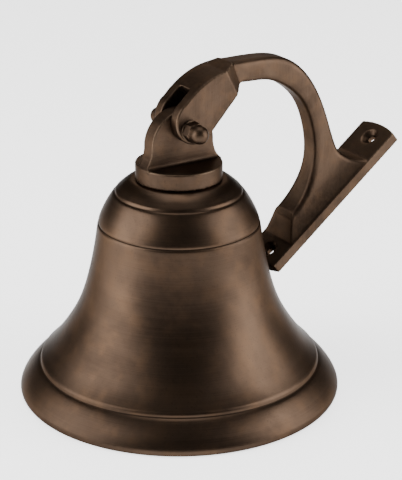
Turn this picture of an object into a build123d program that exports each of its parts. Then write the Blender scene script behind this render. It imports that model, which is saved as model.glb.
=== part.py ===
from build123d import *
import math
import os

# Ship bell with a fold-down wall bracket. Millimetres, +Z up.
# Origin: centre of the mouth plane, on the bell axis. +X points to the wall plate, the pivot runs along Y.

# ---- bell casting ----
lip_radius = 89.0             # widest circle, just above the mouth
mouth_radius = 81.5           # inner edge of the flat turned mouth ring
ridge_radius = 77.6           # foot of the raised skirt, where the lip band starts
ridge_height = 17.0
ridge_step = 1.7              # how far the skirt stands proud of the lip band
waist_radius = 50.6
waist_height = 64.6
shoulder_radius = 44.4        # where the skirt turns over into the shoulder
shoulder_height = 97.0
crown_seat_radius = 25.4      # flat seat the lug casting stands on
crown_height = 122.6
crown_line_radius = 34.6      # step line around the crown
crown_line_height = 115.0
line_step = 0.7               # depth of the turned lines
waist_wall = 4.2
crown_inside_height = 115.6   # flat inside the crown, under the nut

# ---- lug casting on the crown ----
boss_radius = 23.6
boss_height = 9.0
lug_half_width = 19.2
lug_thickness = 9.2
lug_round_height = 10.6       # from the boss top to the centre of the rounded head
lug_foot_reach = 3.9          # the ends sweep out to the edge of the boss
lug_sweep_height = 10.4       # how far up the ends the sweep starts
lug_foot_round = 1.8          # sweep at the foot of the two faces
pivot_above_boss = 20.2

# ---- pivot ----
pin_radius = 3.0
running_clearance = 0.09      # pin in the lug
fixed_clearance = 0.04        # pin in the fork and threads
nut_across_flats = 10.0
nut_height = 5.4
head_height = 7.4             # straight part of the domed bolt head
nut_collar = 8.2              # straight part of the acorn nut, under its dome
dome_radius = 4.9
washer_radius = 5.7
washer_thickness = 1.0

# ---- bracket ----
fork_half_width = 11.4
slot_clearance = 0.3          # each side of the lug
slot_depth = 15.7             # from the pin axis to the closed end of the slot
arm_half_width = 7.2
arm_edge_round = 3.2
plate_half_width = 14.2
plate_thickness = 6.0
plate_front = 102.4           # from the pin axis to the front of the plate
plate_lower = -12.2           # side corners, measured from the pin
plate_upper = 91.2
plate_end_bulge = 2.2
screw_inset = 7.6             # hole centre from the side corners
screw_hole_radius = 2.5
countersink_radius = 5.2
rest_tilt = 51.9              # how far the bracket leans back from its wall position

# ---- hanging gear ----
stud_radius = 4.0             # M8 stud through the crown
stud_depth_in_boss = 7.6
crown_nut_flats = 13.0
crown_nut_height = 6.5
crown_washer_radius = 11.0
crown_washer_thickness = 1.6
eye_ring_radius = 7.0         # centre line of the eye on the stud
eye_wire = 2.5
link_wire = 2.2
link_ring_radius = 6.5
link_pitch = 24.0             # between the centres of the end bends' wires
clapper_ring_radius = 6.2
clapper_wire = 2.3
clapper_shank_radius = 3.4
wire_gap = 0.3
ball_radius = 12.5
ball_height = 24.0
tail_ring_radius = 3.1
tail_wire = 1.3

boss_top = crown_height + boss_height
pivot_height = boss_top + pivot_above_boss
eye_top = crown_inside_height - crown_washer_thickness - crown_nut_height - 3.5
eye_height = eye_top - eye_wire - eye_ring_radius
link_pivot_height = eye_height - eye_ring_radius
link_top = link_pivot_height + eye_wire + link_wire + wire_gap
clapper_pivot_height = link_top - link_pitch
clapper_ring_top = clapper_pivot_height + link_wire + clapper_wire + wire_gap
clapper_ring_height = clapper_ring_top - clapper_ring_radius


def wall_position(shape):
    """Carries a shape drawn about the pin, with the plate upright, to the pose the bell rests in."""
    return Pos(0, 0, pivot_height) * Rot(0, rest_tilt, 0) * shape


def flat_on_side(*edges):
    """A face in the XZ plane, closed from its edges."""
    return make_face(Curve() + list(edges))


def bell_outline():
    """Half section of the bell in the XZ plane, outer line first, then the bore, then the inside."""
    skirt_foot = (ridge_radius, ridge_height)
    skirt_edge = (ridge_radius - 0.2, ridge_height + 1.5)
    skirt_turn = (ridge_radius - 1.9, ridge_height + 3.6)
    lip_top = (lip_radius, 2.6)
    band = ThreePointArc(lip_top, (85.2, 9.8), (ridge_radius + ridge_step, ridge_height - 1.0))
    lip_edge = ThreePointArc((lip_radius - 1.2, 0), (lip_radius - 0.15, 1.1), lip_top)
    ledge = Line((ridge_radius + ridge_step, ridge_height - 1.0), skirt_foot)
    foot = Line(skirt_foot, skirt_edge)
    foot_round = ThreePointArc(skirt_edge, (ridge_radius - 0.7, ridge_height + 2.7), skirt_turn)
    shoulder = (shoulder_radius, shoulder_height)
    skirt = Spline(
        skirt_turn,
        (64.6, 34.0),
        (56.5, 47.6),
        (waist_radius, waist_height),
        (46.6, 82.6),
        shoulder,
        tangents=((-1, 0.85), (-0.16, 1)),
    )
    line_in = (shoulder_radius - line_step, shoulder_height + 0.5)
    line_out = (shoulder_radius - 0.35, shoulder_height + 1.3)
    groove = Polyline(shoulder, line_in, line_out)
    crown_line = (crown_line_radius + 1.2, crown_line_height - 0.9)
    shoulder_turn = ThreePointArc(line_out, (41.2, 105.6), crown_line)
    crown_step = (crown_line_radius, crown_line_height - 0.2)
    crown_edge = (crown_line_radius - 0.2, crown_line_height + 0.9)
    crown_round = (crown_line_radius - 1.4, crown_line_height + 2.0)
    step = Polyline(crown_line, crown_step, crown_edge, crown_round)
    seat = (crown_seat_radius, crown_height)
    crown = ThreePointArc(crown_round, (29.6, 120.3), seat)
    bore = stud_radius + fixed_clearance
    top = Line(seat, (bore, crown_height))
    hole = Line((bore, crown_height), (bore, crown_inside_height))
    inside_flat = Line((bore, crown_inside_height), (17.0, crown_inside_height))
    inside_shoulder = (shoulder_radius - waist_wall, shoulder_height - 2.0)
    inside_turn = ThreePointArc((17.0, crown_inside_height), (33.4, 109.0), inside_shoulder)
    inside = Spline(
        inside_shoulder,
        (waist_radius - waist_wall, waist_height - 1.5),
        (51.4, 45.6),
        (64.0, 25.0),
        (75.0, 10.5),
        (mouth_radius, 0.0),
        tangents=((0.16, -1), (0.55, -1)),
    )
    mouth = Line((mouth_radius, 0), (lip_radius - 1.2, 0))
    return flat_on_side(
        *[lip_edge, band, ledge, foot, foot_round, skirt, groove, shoulder_turn, step, crown],
        *[top, hole, inside_flat, inside_turn, inside, mouth],
    )


def make_bell_body():
    section = Plane.XZ * bell_outline()
    return revolve(section, Axis.Z, 360)


def lug_outline():
    """Tombstone outline: rounded head and ends that sweep out to the edge of the boss."""
    reach = lug_half_width + lug_foot_reach
    round_centre = boss_top + lug_round_height
    side_foot = boss_top + lug_sweep_height
    head = ThreePointArc(
        (-lug_half_width, round_centre),
        (0, round_centre + lug_half_width),
        (lug_half_width, round_centre),
    )
    right = Line((lug_half_width, round_centre), (lug_half_width, side_foot))
    right_sweep = TangentArc((lug_half_width, side_foot), (reach, boss_top), tangent=(0, -1))
    base = Polyline((reach, boss_top), (reach, boss_top - 1), (-reach, boss_top - 1), (-reach, boss_top))
    left_sweep = TangentArc((-lug_half_width, side_foot), (-reach, boss_top), tangent=(0, -1))
    left = Line((-lug_half_width, side_foot), (-lug_half_width, round_centre))
    return flat_on_side(head, right, right_sweep, base, left_sweep, left)


def lug_cross_outline():
    """End view of the lug in the YZ plane: parallel faces with a small sweep at the foot."""
    half = lug_thickness / 2
    sweep = lug_foot_round * (1 - math.sqrt(0.5))
    top = boss_top + 60
    low = boss_top - 1
    foot = half + lug_foot_round
    right = ThreePointArc(
        (half, boss_top + lug_foot_round),
        (half + sweep, boss_top + sweep),
        (foot, boss_top),
    )
    left = ThreePointArc(
        (-foot, boss_top),
        (-half - sweep, boss_top + sweep),
        (-half, boss_top + lug_foot_round),
    )
    foot_top = boss_top + lug_foot_round
    upper = Polyline((-half, foot_top), (-half, top), (half, top), (half, foot_top))
    lower = Polyline((foot, boss_top), (foot, low), (-foot, low), (-foot, boss_top))
    return make_face(Curve() + [right, lower, left, upper])


def make_crown_lug():
    boss = Cylinder(boss_radius, boss_height, align=(Align.CENTER, Align.CENTER, Align.MIN))
    boss = Pos(0, 0, crown_height) * boss
    rim = boss.edges().group_by(Axis.Z)[-1]
    boss = chamfer(rim, 0.4)
    lug = extrude(Plane.XZ * lug_outline(), 12, both=True)
    lug = lug & extrude(Plane.YZ * lug_cross_outline(), 40, both=True)
    body = boss + lug
    pin_hole = Pos(0, 0, pivot_height) * Rot(90, 0, 0) * Cylinder(pin_radius + running_clearance, 30)
    stud_hole = Pos(0, 0, crown_height) * Cylinder(
        stud_radius + fixed_clearance,
        stud_depth_in_boss + 0.4,
        align=(Align.CENTER, Align.CENTER, Align.MIN),
    )
    return body - pin_hole - stud_hole


def make_crown_stud():
    """Stud with a forged eye, its ring standing in the YZ plane."""
    top = crown_height + stud_depth_in_boss
    shank = Pos(0, 0, eye_top - 1.0) * Cylinder(
        stud_radius,
        top - eye_top + 1.0,
        align=(Align.CENTER, Align.CENTER, Align.MIN),
    )
    ring = Pos(0, 0, eye_height) * Rot(0, 90, 0) * Torus(eye_ring_radius, eye_wire)
    neck = Pos(0, 0, eye_top - 2.6) * Cone(
        eye_wire,
        stud_radius,
        3.4,
        align=(Align.CENTER, Align.CENTER, Align.MIN),
    )
    return shank + neck + ring


def hexagon(flats, height):
    return extrude(RegularPolygon(flats / 2, 6, major_radius=False), height)


def make_crown_washer():
    plate = Cylinder(crown_washer_radius, crown_washer_thickness, align=(Align.CENTER, Align.CENTER, Align.MAX))
    hole = Cylinder(stud_radius + fixed_clearance, 10)
    return Pos(0, 0, crown_inside_height) * (plate - hole)


def make_crown_nut():
    top = crown_inside_height - crown_washer_thickness
    nut = hexagon(crown_nut_flats, crown_nut_height) - Cylinder(stud_radius + fixed_clearance, 40)
    guard = Cone(
        crown_nut_flats * 0.52,
        crown_nut_flats * 0.52 + crown_nut_height * 1.6,
        crown_nut_height,
        align=(Align.CENTER, Align.CENTER, Align.MIN),
    )
    return Pos(0, 0, top - crown_nut_height) * (nut & guard)


def fork_outline():
    """Side view of the fork about the pin: rounded nose, long outer side, sloping shoulder line."""
    nose = ThreePointArc((-12.9, 7.0), (0, -6.7), (11.9, 5.2))
    inner = Line((11.9, 5.2), (7.4, 32.7))
    top = Line((7.4, 32.7), (-8.5, 35.6))
    outer = Spline((-8.5, 35.6), (-12.2, 26.0), (-13.5, 15.0), (-12.9, 7.0))
    return flat_on_side(nose, inner, top, outer)


def fork_shoulder():
    """Tapers the wide fork down to the arm."""
    low = Polyline(
        (-8.5, -fork_half_width, 35.6),
        (7.4, -fork_half_width, 32.7),
        (7.4, fork_half_width, 32.7),
        (-8.5, fork_half_width, 35.6),
        close=True,
    )
    high = Polyline(
        (-6.5, -arm_half_width, 42.6),
        (6.2, -arm_half_width, 38.8),
        (6.2, arm_half_width, 38.8),
        (-6.5, arm_half_width, 42.6),
        close=True,
    )
    return loft([make_face(low), make_face(high)])


def arm_outline():
    """Side view of the goose neck and its root, from the fork to the plate."""
    outer = Spline(
        (-6.5, 42.6),
        (4.9, 56.8),
        (18.4, 69.0),
        (42.8, 73.4),
        (68.0, 67.6),
        (84.0, 62.4),
        tangents=((0.62, 0.78), (1, -0.27)),
    )
    root = plate_front + 1.0
    valley_end = (plate_front + 0.4, 70.6)
    toe_foot = (plate_front + 0.4, 3.0)
    valley = TangentArc((84.0, 62.4), valley_end, tangent=(1, -0.27))
    back = Polyline(valley_end, (root, 70.6), (root, 3.0), toe_foot)
    scoop = ThreePointArc(toe_foot, (98.2, 8.8), (94.4, 13.8))
    toe = Polyline((94.4, 13.8), (92.6, 17.6), (92.2, 21.5))
    inner = Spline(
        (92.2, 21.5),
        (89.8, 31.0),
        (80.0, 46.6),
        (62.5, 57.6),
        (42.4, 61.6),
        (21.5, 54.8),
        (6.2, 38.8),
        tangents=((-0.12, 1), (-0.72, -0.8)),
    )
    inside_fork = Polyline((6.2, 38.8), (5.4, 34.0), (-6.2, 36.5), (-6.5, 42.6))
    return flat_on_side(outer, valley, back, scoop, toe, inner, inside_fork)


def root_plan():
    """Seen from above: the arm's parallel sides, sweeping out to the long edges of the plate."""
    start = 84.0
    end = plate_front + 1.0
    near = TangentArc((start, -arm_half_width), (end, -plate_half_width), tangent=(1, 0))
    far = TangentArc((start, arm_half_width), (end, plate_half_width), tangent=(1, 0))
    side = arm_half_width
    tip = Polyline((start, side), (-30, side), (-30, -side), (start, -side))
    return make_face(Curve() + [near, Line((end, -plate_half_width), (end, plate_half_width)), far, tip])


def wall_plate():
    """Flat plate with convex ends, two countersunk holes."""
    mid = plate_half_width
    upper = ThreePointArc((mid, plate_upper), (0, plate_upper + plate_end_bulge), (-mid, plate_upper))
    lower = ThreePointArc((-mid, plate_lower), (0, plate_lower - plate_end_bulge), (mid, plate_lower))
    left = Line((-mid, plate_upper), (-mid, plate_lower))
    right = Line((mid, plate_lower), (mid, plate_upper))
    outline = make_face(Curve() + [upper, left, lower, right])
    plate = extrude(Plane.YZ.offset(plate_front) * outline, plate_thickness)
    return plate


def screw_holes():
    """Cutters for the two screw holes: straight bore and 90 degree countersink."""
    cut = []
    for height in (plate_lower + screw_inset, plate_upper - screw_inset):
        place = Pos(plate_front, 0, height) * Rot(0, 90, 0)
        bore = Cylinder(screw_hole_radius, 30)
        sink = Cone(
            countersink_radius,
            screw_hole_radius,
            countersink_radius - screw_hole_radius,
            align=(Align.CENTER, Align.CENTER, Align.MIN),
        )
        cut.append(place * (bore + sink))
    return cut


def long_arm_edges(web):
    """The curved edges that run from the fork to the root, along both sides of the arm."""
    chosen = []
    for edge in web.edges():
        ends = (edge @ 0, edge @ 1)
        on_side = min(abs(ends[0].Y), abs(ends[1].Y)) > arm_half_width - 0.1
        near_plate = max(ends[0].X, ends[1].X) > plate_front + 0.5
        toe = max(ends[0].X, ends[1].X) > 92.3 and max(ends[0].Z, ends[1].Z) < 30
        if on_side and not toe and not near_plate and edge.geom_type != GeomType.LINE:
            chosen.append(edge)
    return chosen


def make_bracket():
    web = extrude(Plane.XZ * arm_outline(), plate_half_width + 1, both=True)
    plan = extrude(root_plan(), 120, both=True)
    web = web & plan
    web = fillet(long_arm_edges(web), arm_edge_round)
    fork = extrude(Plane.XZ * fork_outline(), fork_half_width, both=True)
    body = fork + fork_shoulder() + web + wall_plate()
    slot_half = lug_thickness / 2 + slot_clearance
    slot = Pos(0, 0, slot_depth) * Box(80, 2 * slot_half, 80, align=(Align.CENTER, Align.CENTER, Align.MAX))
    body = body - slot - Rot(90, 0, 0) * Cylinder(pin_radius + fixed_clearance, 60)
    for cutter in screw_holes():
        body = body - cutter
    return wall_position(body)


def pin_dome(collar_height):
    """Domed end: straight collar, then a cap that is a little less than half a ball."""
    cap = Sphere(dome_radius) & Pos(0, 0, 0) * Cylinder(20, 20, align=(Align.CENTER, Align.CENTER, Align.MIN))
    collar = Cylinder(dome_radius, collar_height, align=(Align.CENTER, Align.CENTER, Align.MIN))
    return collar + Pos(0, 0, collar_height) * cap


def make_pivot_bolt():
    """Cross bolt along Y: domed head on the far side, thread end inside the acorn nut."""
    head_seat = fork_half_width + washer_thickness
    tip = -(fork_half_width + washer_thickness + nut_height)
    shank = Cylinder(pin_radius, head_seat - tip, align=(Align.CENTER, Align.CENTER, Align.MIN))
    head = Pos(0, 0, head_seat - tip) * pin_dome(head_height)
    return wall_position(Pos(0, tip, 0) * Rot(-90, 0, 0) * (shank + head))


def make_pivot_acorn_nut():
    seat = fork_half_width + washer_thickness
    nut = hexagon(nut_across_flats, nut_height)
    guard = Cone(
        nut_across_flats * 0.52 + nut_height * 1.6,
        nut_across_flats * 0.52,
        nut_height,
        align=(Align.CENTER, Align.CENTER, Align.MIN),
    )
    body = (nut & guard) + pin_dome(nut_collar)
    depth = nut_height + 1.0
    bore = Cylinder(pin_radius + fixed_clearance, depth, align=(Align.CENTER, Align.CENTER, Align.MIN))
    return wall_position(Pos(0, -seat, 0) * Rot(90, 0, 0) * (body - bore))


def make_pivot_washers():
    washers = []
    for side in (-1, 1):
        ring = Cylinder(washer_radius, washer_thickness) - Cylinder(pin_radius + fixed_clearance, 10)
        offset = side * (fork_half_width + washer_thickness / 2)
        washers.append(wall_position(Pos(0, offset, 0) * Rot(90, 0, 0) * ring))
    return Compound(children=washers)


def make_clapper_link():
    """Oval link in the XZ plane."""
    upper = link_top - link_ring_radius
    lower = clapper_pivot_height + link_ring_radius
    right_top = (link_ring_radius, 0, upper)
    left_top = (-link_ring_radius, 0, upper)
    right_low = (link_ring_radius, 0, lower)
    left_low = (-link_ring_radius, 0, lower)
    path = Curve() + [
        ThreePointArc(left_top, (0, 0, link_top), right_top),
        Line(right_top, right_low),
        ThreePointArc(right_low, (0, 0, clapper_pivot_height), left_low),
        Line(left_low, left_top),
    ]
    wire = Wire(path.edges())
    section = Plane(origin=right_top, z_dir=(0, 0, -1)) * Circle(link_wire)
    return sweep(section, path=wire)


def make_clapper_rod():
    """Shank with a forged top eye standing in the YZ plane."""
    ring = Pos(0, 0, clapper_ring_height) * Rot(0, 90, 0) * Torus(clapper_ring_radius, clapper_wire)
    top = clapper_ring_height - clapper_ring_radius
    bottom = ball_height + 4.0
    shank = Pos(0, 0, bottom) * Cone(
        clapper_shank_radius + 0.8,
        clapper_shank_radius - 0.8,
        top - bottom,
        align=(Align.CENTER, Align.CENTER, Align.MIN),
    )
    return ring + shank


def make_clapper_ball():
    """Striker: a ball with a short neck, bored for the shank and for the tail."""
    ball = Pos(0, 0, ball_height) * Sphere(ball_radius)
    socket = Pos(0, 0, ball_height + 4.0) * Cylinder(
        clapper_shank_radius + 0.8 + fixed_clearance,
        40,
        align=(Align.CENTER, Align.CENTER, Align.MIN),
    )
    tail_socket = Pos(0, 0, ball_height - 6.0) * Cylinder(
        tail_wire + fixed_clearance,
        40,
        align=(Align.CENTER, Align.CENTER, Align.MAX),
    )
    return ball - socket - tail_socket


def make_clapper_tail():
    """Small eye under the striker for a bell rope."""
    ring_top = ball_height - ball_radius - 0.4
    ring_height = ring_top - tail_ring_radius - tail_wire
    ring = Pos(0, 0, ring_height) * Rot(90, 0, 0) * Torus(tail_ring_radius, tail_wire)
    shank = Pos(0, 0, ring_top - tail_wire) * Cylinder(
        tail_wire,
        ball_height - 6.0 - ring_top + tail_wire,
        align=(Align.CENTER, Align.CENTER, Align.MIN),
    )
    return ring + shank


pieces = {
    "bell_body": make_bell_body,
    "crown_lug": make_crown_lug,
    "crown_stud": make_crown_stud,
    "crown_washer": make_crown_washer,
    "crown_nut": make_crown_nut,
    "bracket": make_bracket,
    "pivot_bolt": make_pivot_bolt,
    "pivot_acorn_nut": make_pivot_acorn_nut,
    "pivot_washers": make_pivot_washers,
    "clapper_link": make_clapper_link,
    "clapper_rod": make_clapper_rod,
    "clapper_ball": make_clapper_ball,
    "clapper_tail": make_clapper_tail,
}

os.makedirs("parts", exist_ok=True)
for name, maker in pieces.items():
    solid = maker()
    export_step(solid, f"parts/{name}.step")
    print(name, round(solid.volume, 1))
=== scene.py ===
import math
import bpy
import numpy as np
from mathutils import Matrix, Vector


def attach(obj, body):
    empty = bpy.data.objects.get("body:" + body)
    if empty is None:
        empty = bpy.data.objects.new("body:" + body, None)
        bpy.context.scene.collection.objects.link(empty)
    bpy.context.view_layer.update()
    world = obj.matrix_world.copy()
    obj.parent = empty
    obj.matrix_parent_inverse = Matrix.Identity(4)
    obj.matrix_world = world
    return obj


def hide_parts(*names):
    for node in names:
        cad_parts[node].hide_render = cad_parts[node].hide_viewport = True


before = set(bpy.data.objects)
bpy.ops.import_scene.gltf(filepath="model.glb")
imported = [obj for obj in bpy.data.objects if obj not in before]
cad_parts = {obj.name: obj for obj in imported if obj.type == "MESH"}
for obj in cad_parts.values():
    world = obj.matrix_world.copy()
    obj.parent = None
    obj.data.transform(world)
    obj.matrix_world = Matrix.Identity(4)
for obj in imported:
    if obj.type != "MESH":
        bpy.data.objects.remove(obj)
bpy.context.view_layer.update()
print("frame loaded:", len(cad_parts), "nodes")

mm = 0.001


# small helpers

def pickOnly(obj):
    # nothing else stays selected, so operators act on this piece alone
    if bpy.context.object and bpy.context.object.mode != "OBJECT":
        bpy.ops.object.mode_set(mode="OBJECT")
    bpy.ops.object.select_all(action="DESELECT")
    obj.select_set(True)
    bpy.context.view_layer.objects.active = obj


def applyAll(obj):
    pickOnly(obj)
    for modifier in list(obj.modifiers):
        bpy.ops.object.modifier_apply(modifier=modifier.name)


def tidyMesh(obj, gap=0.02 * mm):
    pickOnly(obj)
    bpy.ops.object.mode_set(mode="EDIT")
    bpy.ops.mesh.select_all(action="SELECT")
    bpy.ops.mesh.remove_doubles(threshold=gap)
    bpy.ops.mesh.normals_make_consistent(inside=False)
    bpy.ops.object.mode_set(mode="OBJECT")


def roundOff(obj, levels):
    subdivision = obj.modifiers.new("round", "SUBSURF")
    subdivision.levels = levels
    subdivision.render_levels = levels
    applyAll(obj)


def softenEdges(obj, width, segments=3, angle=30):
    bevel = obj.modifiers.new("edges", "BEVEL")
    bevel.width = width
    bevel.segments = segments
    bevel.limit_method = "ANGLE"
    bevel.angle_limit = math.radians(angle)
    bevel.harden_normals = False
    applyAll(obj)


def smoothShade(obj, angle=35):
    pickOnly(obj)
    bpy.ops.object.shade_smooth_by_angle(angle=math.radians(angle))


def markWearAndShade(obj, reach, strength):
    # convex edges and corners go towards 1 in "wear", creases and grooves towards 1 in "hollow", which
    # drives the painted shade in the creases
    mesh = obj.data
    count = len(mesh.vertices)
    place = np.zeros(count * 3)
    mesh.vertices.foreach_get("co", place)
    place = place.reshape(-1, 3)
    normal = np.zeros(count * 3, np.float32)
    mesh.vertices.foreach_get("normal", normal)
    normal = normal.reshape(-1, 3)
    edges = np.zeros(len(mesh.edges) * 2, int)
    mesh.edges.foreach_get("vertices", edges)
    edges = edges.reshape(-1, 2)
    step = place[edges[:, 1]] - place[edges[:, 0]]
    length = np.maximum(np.linalg.norm(step, axis=1), 1e-7)
    bend = np.einsum("ij,ij->i", normal[edges[:, 1]] - normal[edges[:, 0]], step) / length ** 2
    total = np.zeros(count)
    share = np.zeros(count)
    for side in (0, 1):
        np.add.at(total, edges[:, side], bend)
        np.add.at(share, edges[:, side], 1)
    curve = total / np.maximum(share, 1)
    for _ in range(reach):
        gathered = np.zeros(count)
        np.add.at(gathered, edges[:, 0], curve[edges[:, 1]])
        np.add.at(gathered, edges[:, 1], curve[edges[:, 0]])
        curve = 0.5 * curve + 0.5 * gathered / np.maximum(share, 1)
    for key, sign in (("wear", 1), ("hollow", -1)):
        old = mesh.attributes.get(key)
        if old:
            mesh.attributes.remove(old)
        attribute = mesh.attributes.new(key, "FLOAT", "POINT")
        value = np.clip(curve * strength * sign, 0, 1)
        attribute.data.foreach_set("value", value.astype(np.float32))


# finishes

def node(tree, kind, x, y, **settings):
    made = tree.nodes.new(kind)
    made.location = (x, y)
    for key, value in settings.items():
        setattr(made, key, value)
    return made


def feed(tree, socket, value):
    # a socket takes either another node's output or a plain value
    if hasattr(value, "links"):
        tree.links.new(value, socket)
    else:
        socket.default_value = value


def mixColour(tree, x, y, mode, factor, first, second):
    mix = node(tree, "ShaderNodeMix", x, y, data_type="RGBA", blend_type=mode)
    feed(tree, mix.inputs[0], factor)
    feed(tree, mix.inputs[6], first)
    feed(tree, mix.inputs[7], second)
    return mix.outputs[2]


def maths(tree, x, y, operation, first, second=None, third=None):
    made = node(tree, "ShaderNodeMath", x, y, operation=operation)
    for socket, value in zip(made.inputs, (first, second, third)):
        if value is not None:
            feed(tree, socket, value)
    return made.outputs[0]


def remap(tree, x, y, value, low, high, outLow=0.0, outHigh=1.0):
    made = node(tree, "ShaderNodeMapRange", x, y, interpolation_type="SMOOTHSTEP")
    tree.links.new(value, made.inputs[0])
    for index, number in enumerate((low, high, outLow, outHigh)):
        made.inputs[index + 1].default_value = number
    return made.outputs[0]


def patina(look):
    # brown bronze patina: cloudy tone, fine brushing, small cast pits and bright worn edges, with
    # painted shade darkening the creases
    material = bpy.data.materials.new(look["name"])
    material.use_nodes = True
    tree = material.node_tree
    shader = tree.nodes["Principled BSDF"]
    spot = node(tree, "ShaderNodeTexCoord", -1800, 0).outputs["Object"]

    cloud = node(tree, "ShaderNodeTexNoise", -1400, 300)
    cloud.inputs["Scale"].default_value = look["cloudScale"]
    cloud.inputs["Detail"].default_value = 6
    cloud.inputs["Roughness"].default_value = 0.62
    cloud.inputs["Distortion"].default_value = 0.6
    tree.links.new(spot, cloud.inputs["Vector"])
    cloudy = remap(tree, -1200, 300, cloud.outputs[0], 0.28, 0.74)

    if look["brushing"] == "turned":
        # lathe marks: fine rings about the axis that fade in and out around it
        parts = node(tree, "ShaderNodeSeparateXYZ", -1600, -100)
        tree.links.new(spot, parts.inputs[0])
        square = maths(tree, -1450, -60, "MULTIPLY", parts.outputs[0], parts.outputs[0])
        square = maths(tree, -1350, -60, "MULTIPLY_ADD", parts.outputs[1], parts.outputs[1], square)
        radius = maths(tree, -1250, -60, "SQRT", square)
        along = maths(tree, -1150, -60, "SUBTRACT", parts.outputs[2], radius)
        rings = node(tree, "ShaderNodeCombineXYZ", -1000, -100)
        drift = look["ringDrift"]
        feed(tree, rings.inputs[0], maths(tree, -1100, -160, "MULTIPLY", parts.outputs[0], drift))
        feed(tree, rings.inputs[1], maths(tree, -1100, -260, "MULTIPLY", parts.outputs[1], drift))
        feed(tree, rings.inputs[2], maths(tree, -1100, -360, "MULTIPLY", along, look["lines"]))
        lineSpot = rings.outputs[0]
    else:
        stretch = node(tree, "ShaderNodeMapping", -1200, -100)
        tree.links.new(spot, stretch.inputs[0])
        stretch.inputs["Rotation"].default_value = look["lineTurn"]
        stretch.inputs["Scale"].default_value = look["lineStretch"]
        lineSpot = stretch.outputs[0]
    lines = node(tree, "ShaderNodeTexNoise", -800, -100)
    lines.inputs["Scale"].default_value = 1.0
    lines.inputs["Detail"].default_value = 5
    lines.inputs["Roughness"].default_value = 0.7
    tree.links.new(lineSpot, lines.inputs["Vector"])
    brushed = remap(tree, -600, -100, lines.outputs[0], 0.3, 0.7)

    pits = node(tree, "ShaderNodeTexNoise", -800, -420)
    pits.inputs["Scale"].default_value = look["pitScale"]
    pits.inputs["Detail"].default_value = 3
    tree.links.new(spot, pits.inputs["Vector"])
    pitted = remap(tree, -600, -420, pits.outputs[0], 0.58, 0.74)

    patch = node(tree, "ShaderNodeTexNoise", -1400, 620)
    patch.inputs["Scale"].default_value = look["cloudScale"] * 5.5
    patch.inputs["Detail"].default_value = 5
    tree.links.new(spot, patch.inputs["Vector"])
    blotch = remap(tree, -1200, 620, patch.outputs[0], 0.42, 0.7)

    tone = mixColour(tree, -900, 400, "MIX", cloudy, look["dark"], look["mid"])
    layers = (("warm", blotch, look["blotchTone"]), ("light", brushed, look["lineTone"]),
              ("dark", pitted, look["pitTone"]))
    for step, (colour, mask, amount) in enumerate(layers):
        x = -700 + 200 * step
        share = maths(tree, x - 100, 560, "MULTIPLY", mask, amount)
        tone = mixColour(tree, x, 400, "MIX", share, tone, look[colour])
    wear = node(tree, "ShaderNodeAttribute", -800, 800, attribute_name="wear").outputs["Fac"]
    ragged = maths(tree, -600, 800, "MULTIPLY_ADD", cloud.outputs[0], 0.8, wear)
    worn = remap(tree, -400, 800, maths(tree, -500, 800, "SUBTRACT", ragged, 0.4), 0.25, 0.95)
    worn = maths(tree, -250, 800, "MULTIPLY", worn, look["wear"])
    tone = mixColour(tree, -100, 400, "MIX", worn, tone, look["bare"])
    # painted shade: creases and grooves are darkened towards a near-black tone, standing in for the
    # shade that falls in them
    hollow = node(tree, "ShaderNodeAttribute", -800, 1000, attribute_name="hollow").outputs["Fac"]
    creased = remap(tree, -600, 1000, hollow, 0.05, 0.6)
    paintedShade = maths(tree, -400, 1000, "MULTIPLY", creased, look["paintedShade"])
    tone = mixColour(tree, 50, 400, "MIX", paintedShade, tone, look["shadeTone"])
    tree.links.new(tone, shader.inputs["Base Color"])

    rough = maths(tree, -300, 0, "MULTIPLY_ADD", brushed, look["lineRough"], look["roughness"])
    rough = maths(tree, -150, 0, "MULTIPLY_ADD", cloudy, -0.07, rough)
    rough = maths(tree, 0, 0, "MULTIPLY_ADD", worn, -0.06, rough)
    rough = maths(tree, 100, 0, "MULTIPLY_ADD", paintedShade, 0.25, rough)
    tree.links.new(rough, shader.inputs["Roughness"])
    shader.inputs["Metallic"].default_value = 1.0
    shader.inputs["Specular Tint"].default_value = look["rim"]
    if look["brushing"] == "turned":
        shader.inputs["Anisotropic"].default_value = look["anisotropy"]
        grain = node(tree, "ShaderNodeTangent", -300, -700, direction_type="RADIAL", axis="Z")
        tree.links.new(grain.outputs[0], shader.inputs["Tangent"])

    relief = maths(tree, -500, -260, "MULTIPLY", brushed, look["lineDepth"])
    relief = maths(tree, -350, -260, "MULTIPLY_ADD", pitted, -0.6, relief)
    relief = maths(tree, -250, -260, "MULTIPLY_ADD", blotch, 0.25, relief)
    bump = node(tree, "ShaderNodeBump", -100, -260)
    bump.inputs["Strength"].default_value = look["bump"]
    bump.inputs["Distance"].default_value = 0.05 * mm
    tree.links.new(relief, bump.inputs["Height"])
    tree.links.new(bump.outputs[0], shader.inputs["Normal"])
    return material


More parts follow.
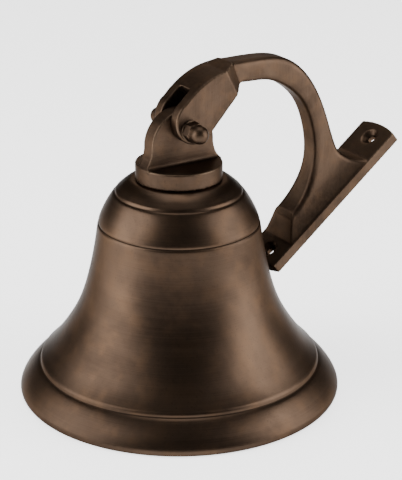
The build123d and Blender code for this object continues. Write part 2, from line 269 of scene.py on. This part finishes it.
# the near-black tone and its strength set the painted shade in the creases
bronze = {
    "dark": (0.026, 0.0165, 0.0115, 1), "mid": (0.058, 0.037, 0.025, 1),
    "warm": (0.072, 0.041, 0.023, 1), "light": (0.088, 0.060, 0.041, 1),
    "bare": (0.135, 0.095, 0.063, 1), "shadeTone": (0.006, 0.004, 0.003, 1),
    "cloudScale": 16.0, "pitScale": 900.0, "blotchTone": 0.35, "pitTone": 0.4,
    "lineTone": 0.22, "lineRough": 0.08, "lineDepth": 0.45, "roughness": 0.33, "bump": 0.22,
    "wear": 0.35, "paintedShade": 0.9, "lines": 3400.0, "ringDrift": 16.0, "anisotropy": 0.5,
    "rim": (0.45, 0.45, 0.45, 1), "lineTurn": (0, 0, 0), "lineStretch": (60, 60, 1500),
}
bellFinish = patina({**bronze, "name": "turnedBronze", "brushing": "turned"})
cast = {"brushing": "filed", "roughness": 0.42, "cloudScale": 30.0, "pitScale": 700.0, "bump": 0.4,
        "wear": 0.5}
bracketFinish = patina({
    **bronze, **cast, "name": "castBronze", "lineTurn": (0, math.radians(-51.4), 0),
    "lineStretch": (900, 900, 90),
})
lugFinish = patina({**bronze, **cast, "name": "castLugBronze", "lineStretch": (70, 70, 1300)})
boltFinish = patina({
    **bronze, "name": "boltBronze", "brushing": "filed", "lineStretch": (300, 1400, 300),
    "roughness": 0.40, "cloudScale": 80.0, "pitScale": 1600.0, "bump": 0.25, "wear": 0.5,
})
hangerFinish = patina({
    **bronze, "name": "hangerBrass", "brushing": "filed", "lineStretch": (500, 500, 500),
    "mid": (0.12, 0.078, 0.042, 1), "warm": (0.15, 0.09, 0.04, 1), "light": (0.19, 0.13, 0.072, 1),
    "roughness": 0.42, "cloudScale": 60.0, "pitScale": 1200.0, "wear": 0.5,
})
clapperFinish = patina({
    **bronze, "name": "clapperBronze", "brushing": "turned", "lines": 1800.0,
    "mid": (0.085, 0.053, 0.033, 1), "roughness": 0.38, "cloudScale": 45.0, "pitScale": 1000.0,
    "wear": 0.5,
})
print("finishes made")


def dress(obj, finish, slotName, body, *nodes):
    obj.data.materials.clear()
    obj.data.materials.append(finish)
    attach(obj, body)
    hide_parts(*nodes)


# the bell: one ring drawn up the outside, over the crown and down the inside

bellShape = {
    # each pair is a height and a radius in millimetres
    "sides": 64, "levels": 2, "shadeAngle": 60, "wearShadeReach": 1, "wearShadeStrength": 1 / 1400,
    "lip": [(0.0, 87.7), (0.45, 88.6), (2.4, 89.4), (5.6, 88.2), (9.6, 85.6), (13.2, 82.4),
            (15.5, 79.9), (16.5, 78.5), (16.9, 77.75), (17.3, 77.55), (18.5, 77.4), (19.6, 76.9),
            (20.5, 75.85)],
    "skirt": [(22.6, 73.7), (26.1, 70.36), (32.2, 65.79), (38.6, 61.55), (45.25, 57.68),
              (52.2, 54.51), (59.5, 52.04), (66.9, 50.0), (74.3, 48.25), (81.8, 46.75),
              (89.4, 45.5), (95.4, 44.65), (96.8, 44.42), (97.3, 43.8), (97.6, 43.72),
              (98.2, 44.02)],
    "shoulder": [(100.2, 43.45), (103.9, 42.0), (109.2, 39.2), (113.1, 36.6), (114.2, 35.65),
                 (114.7, 34.85), (115.0, 34.6), (115.8, 34.4), (116.5, 33.85), (117.2, 33.0),
                 (120.3, 29.6), (122.2, 26.3), (122.6, 25.0), (122.6, 22.0), (122.6, 5.0),
                 (122.5, 4.04)],
    "inside": [(119.0, 4.04), (115.7, 4.04), (115.6, 5.0), (115.6, 14.0), (115.3, 20.0),
               (111.8, 29.9), (107.3, 34.9), (101.6, 38.5), (95.0, 40.2), (87.6, 41.5),
               (80.2, 42.8), (72.8, 44.3), (65.4, 45.9), (58.0, 47.5), (50.8, 49.5),
               (43.7, 52.2), (37.0, 55.7), (30.7, 59.8), (24.7, 64.2), (18.7, 68.9),
               (12.7, 73.4), (6.5, 77.7), (1.4, 80.8), (0.35, 81.5), (0.0, 82.2), (0.0, 85.0),
               (0.0, 87.2)],
}


def turnedShell(name, rings, sides):
    bpy.ops.object.select_all(action="DESELECT")
    height, radius = rings[0]
    bpy.ops.mesh.primitive_circle_add(vertices=sides, radius=radius * mm, location=(0, 0, 0))
    obj = bpy.context.object
    obj.name = name
    bpy.ops.object.mode_set(mode="EDIT")
    bpy.ops.mesh.select_all(action="SELECT")
    bpy.ops.transform.translate(value=(0, 0, height * mm))
    for nextHeight, nextRadius in rings[1:]:
        bpy.ops.mesh.extrude_region_move(
            TRANSFORM_OT_translate={"value": (0, 0, (nextHeight - height) * mm)})
        share = nextRadius / radius
        bpy.ops.transform.resize(value=(share, share, 1), center_override=(0, 0, nextHeight * mm))
        height, radius = nextHeight, nextRadius
    # the last ring joins the first
    bpy.ops.mesh.select_all(action="DESELECT")
    bpy.ops.mesh.select_mode(type="EDGE")
    bpy.ops.mesh.select_non_manifold(extend=False)
    bpy.ops.mesh.bridge_edge_loops()
    bpy.ops.mesh.select_all(action="SELECT")
    bpy.ops.mesh.normals_make_consistent(inside=False)
    bpy.ops.object.mode_set(mode="OBJECT")
    return obj


rings = bellShape["lip"] + bellShape["skirt"] + bellShape["shoulder"] + bellShape["inside"]
bell = turnedShell("bellBody", rings, bellShape["sides"])
roundOff(bell, bellShape["levels"])
smoothShade(bell, bellShape["shadeAngle"])
markWearAndShade(bell, bellShape["wearShadeReach"], bellShape["wearShadeStrength"])
dress(bell, bellFinish, "bell_metal", "bell", "bell_body")
print("bell turned")


# castings: the lug and the bracket

def copyNode(nodeName, name):
    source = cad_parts[nodeName]
    pickOnly(source)
    obj = source.copy()
    obj.data = source.data.copy()
    obj.parent = None
    obj.name = name
    for key in list(obj.keys()):
        if key.startswith("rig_"):
            del obj[key]
    bpy.context.scene.collection.objects.link(obj)
    tidyMesh(obj)
    return obj


def castingFrom(nodeName, name, look):
    # a fettled casting: every sharp corner of the solid is softened by the same small amount
    obj = copyNode(nodeName, name)
    remesh = obj.modifiers.new("grain", "REMESH")
    remesh.mode = "VOXEL"
    remesh.voxel_size = look["grain"]
    remesh.adaptivity = 0
    applyAll(obj)
    smooth = obj.modifiers.new("fettle", "SMOOTH")
    smooth.factor = 0.5
    smooth.iterations = look["passes"]
    applyAll(obj)
    pickOnly(obj)
    bpy.ops.object.shade_smooth()
    markWearAndShade(obj, look["wearShadeReach"], look["wearShadeStrength"])
    return obj


lugLook = {"grain": 0.42 * mm, "passes": 3, "wearShadeReach": 2, "wearShadeStrength": 1 / 900}
lug = castingFrom("crown_lug", "crownLug", lugLook)
dress(lug, lugFinish, "bell_metal", "bell", "crown_lug")

bracketLook = {"grain": 0.52 * mm, "passes": 3, "wearShadeReach": 2, "wearShadeStrength": 1 / 900}
bracket = castingFrom("bracket", "wallBracket", bracketLook)
dress(bracket, bracketFinish, "bell_metal", "bracket", "bracket")

nutLook = {"grain": 0.16 * mm, "passes": 4, "wearShadeReach": 2, "wearShadeStrength": 1 / 2500}
acornNut = castingFrom("pivot_acorn_nut", "acornNut", nutLook)
dress(acornNut, boltFinish, "bolt_metal", "bracket", "pivot_acorn_nut")

boltLook = {"grain": 0.22 * mm, "passes": 3, "wearShadeReach": 2, "wearShadeStrength": 1 / 2500}
pivotBolt = castingFrom("pivot_bolt", "pivotBolt", boltLook)
dress(pivotBolt, boltFinish, "bolt_metal", "bracket", "pivot_bolt")
print("castings made:", len(lug.data.polygons), len(bracket.data.polygons), len(acornNut.data.polygons))


# small fittings keep their CAD shape, with rolled edges

def fittingFrom(look):
    obj = copyNode(look["node"], look["name"])
    pickOnly(obj)
    bpy.ops.object.mode_set(mode="EDIT")
    bpy.ops.mesh.select_all(action="SELECT")
    bpy.ops.mesh.dissolve_limited(angle_limit=math.radians(0.5))
    bpy.ops.object.mode_set(mode="OBJECT")
    if look["edge"] > 0:
        softenEdges(obj, look["edge"], 3, 28)
    smoothShade(obj, 30)
    markWearAndShade(obj, 1, 1 / 2500)
    dress(obj, look["finish"], look["slot"], look["body"], look["node"])


# edge is the width of the rolled edge, and 0 leaves the edges as they are
fittings = [
    {"node": "crown_stud", "name": "crownStud", "edge": 0.0, "body": "bell",
     "finish": hangerFinish, "slot": "hanger_brass"},
    {"node": "crown_washer", "name": "crownWasher", "edge": 0.18 * mm, "body": "bell",
     "finish": hangerFinish, "slot": "hanger_brass"},
    {"node": "crown_nut", "name": "crownNut", "edge": 0.18 * mm, "body": "bell",
     "finish": hangerFinish, "slot": "hanger_brass"},
    {"node": "pivot_washers", "name": "pivotWashers", "edge": 0.15 * mm, "body": "bracket",
     "finish": boltFinish, "slot": "bolt_metal"},
    {"node": "clapper_link", "name": "clapperLink", "edge": 0.0, "body": "link",
     "finish": hangerFinish, "slot": "hanger_brass"},
    {"node": "clapper_rod", "name": "clapperRod", "edge": 0.0, "body": "clapper",
     "finish": hangerFinish, "slot": "hanger_brass"},
    {"node": "clapper_ball", "name": "clapperBall", "edge": 0.0, "body": "clapper",
     "finish": clapperFinish, "slot": "clapper_metal"},
    {"node": "clapper_tail", "name": "clapperTail", "edge": 0.0, "body": "clapper",
     "finish": hangerFinish, "slot": "hanger_brass"},
]
for look in fittings:
    fittingFrom(look)
print("fittings made")


# floor, light, camera

def plainFinish(name, look):
    material = bpy.data.materials.new(name)
    material.use_nodes = True
    tree = material.node_tree
    shader = tree.nodes["Principled BSDF"]
    spot = node(tree, "ShaderNodeTexCoord", -700, 0).outputs["Object"]
    fleck = node(tree, "ShaderNodeTexNoise", -500, 0)
    fleck.inputs["Scale"].default_value = 40
    tree.links.new(spot, fleck.inputs["Vector"])
    colour = look["colour"]
    darker = tuple(look["fleck"] * part for part in colour[:3]) + (1,)
    tint = mixColour(tree, -200, 0, "MIX", fleck.outputs[0], colour, darker)
    tree.links.new(tint, shader.inputs["Base Color"])
    shader.inputs["Roughness"].default_value = look["roughness"]
    shader.inputs["Emission Color"].default_value = (1, 1, 1, 1)
    shader.inputs["Emission Strength"].default_value = look["glow"]
    return material


# the floor gives off a little light of its own, as a light table does
floorLook = {"size": 6, "colour": (0.93, 0.93, 0.93, 1), "fleck": 0.985, "roughness": 0.85,
             "glow": 1.9}
bpy.ops.object.select_all(action="DESELECT")
bpy.ops.mesh.primitive_plane_add(size=floorLook["size"], location=(0, 0, 0))
floor = bpy.context.object
floor.name = "floor"
floor.data.materials.append(plainFinish("paleFloor", floorLook))

studio = {
    "cameraPlace": (-0.4740, -0.7617, 0.4415),
    "aim": (0.5017, 0.7827, -0.3684),
    "roll": 0.12,
    "lens": 132.57,
    "sensor": 36,
    "air": 0.10,
    "middle": (0.02, 0, 0.09),
    "lights": [
        # name, direction seen from the camera (right +), height angle, distance, size, power
        ("leftBox", -76, 20, 1.05, (0.95, 0.95), 20),
        ("rightBox", 80, 18, 1.05, (0.90, 0.95), 18),
        ("topBox", 180, 78, 1.3, (1.0, 1.0), 11),
        ("backBox", 180, 26, 1.7, (1.3, 0.7), 7),
    ],
}


def softBox(name, side, lift, distance, size, power):
    toCamera = Vector(studio["cameraPlace"])
    bearing = math.atan2(toCamera.y, toCamera.x) + math.radians(side)
    middle = Vector(studio["middle"])
    flat = Vector((math.cos(bearing), math.sin(bearing), 0))
    height = math.radians(lift)
    place = middle + distance * (flat * math.cos(height) + Vector((0, 0, math.sin(height))))
    light = bpy.data.lights.new(name, "AREA")
    light.shape = "RECTANGLE"
    light.size, light.size_y = size
    light.energy = power
    obj = bpy.data.objects.new(name, light)
    bpy.context.scene.collection.objects.link(obj)
    obj.location = place
    obj.rotation_euler = (middle - place).to_track_quat("-Z", "Y").to_euler()


for row in studio["lights"]:
    softBox(*row)

world = bpy.data.worlds.new("studioAir")
bpy.context.scene.world = world
world.use_nodes = True
world.node_tree.nodes["Background"].inputs[0].default_value = (1, 1, 1, 1)
world.node_tree.nodes["Background"].inputs[1].default_value = studio["air"]

cameraData = bpy.data.cameras.new("viewCamera")
cameraData.lens = studio["lens"]
cameraData.sensor_width = studio["sensor"]
cameraData.sensor_fit = "AUTO"
cameraData.clip_start = 0.01
camera = bpy.data.objects.new("viewCamera", cameraData)
bpy.context.scene.collection.objects.link(camera)
forward = Vector(studio["aim"]).normalized()
right = forward.cross(Vector((0, 0, 1))).normalized()
up = right.cross(forward)
turn = math.radians(studio["roll"])
tiltedRight = right * math.cos(turn) + up * math.sin(turn)
tiltedUp = up * math.cos(turn) - right * math.sin(turn)
view = Matrix((tiltedRight, tiltedUp, -forward)).transposed().to_4x4()
view.translation = Vector(studio["cameraPlace"])
camera.matrix_world = view
bpy.context.scene.camera = camera
print("studio set")
